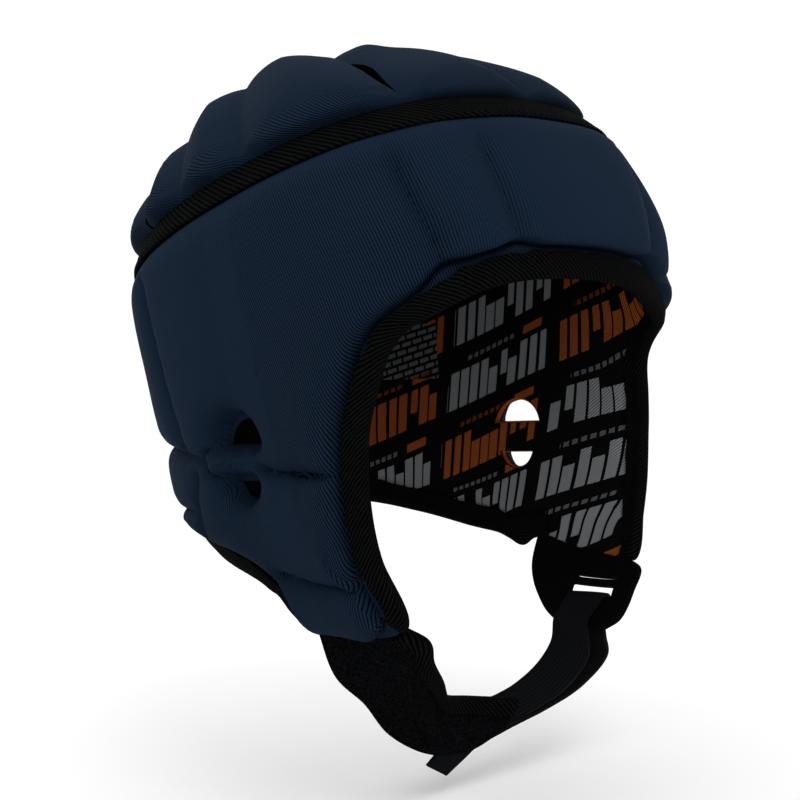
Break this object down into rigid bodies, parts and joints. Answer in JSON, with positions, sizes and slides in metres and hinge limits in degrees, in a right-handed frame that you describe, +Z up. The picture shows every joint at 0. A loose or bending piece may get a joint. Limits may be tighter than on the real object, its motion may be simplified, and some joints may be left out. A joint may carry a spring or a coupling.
{
  "type": "soft shell helmet",
  "caption": "Soft padded sports helmet: quilted knit crown and band, printed lining, taped edges, ear holes and a hook-and-loop chin strap.",
  "frame": {"origin": "the highest point inside the crown, where the top of the wearer's head rests", "axes": "+Z up through the crown, -Y out of the face opening, +X to the wearer's left"},
  "size_m": [0.19, 0.2192, 0.2895],
  "materials": {
    "knit": "fine-ribbed stretch knit over foam, matt navy",
    "lining_cloth": "smooth black knit with a printed design of slanted bars inside",
    "twill_tape": "black diagonal twill tape",
    "loop_pile": "brushed black loop pile",
    "webbing": "black strap with lengthwise ribs"
  },
  "bodies": {
    "root": {"crown": "knit", "side_band": "knit", "band_lining": "lining_cloth", "crown_tape": "twill_tape", "face_binding": "twill_tape", "neck_binding": "twill_tape", "loop_tab": "loop_pile", "tab_binding": "twill_tape", "slot_tab": "lining_cloth", "chin_strap": "webbing"}
  },
  "joints": []
}
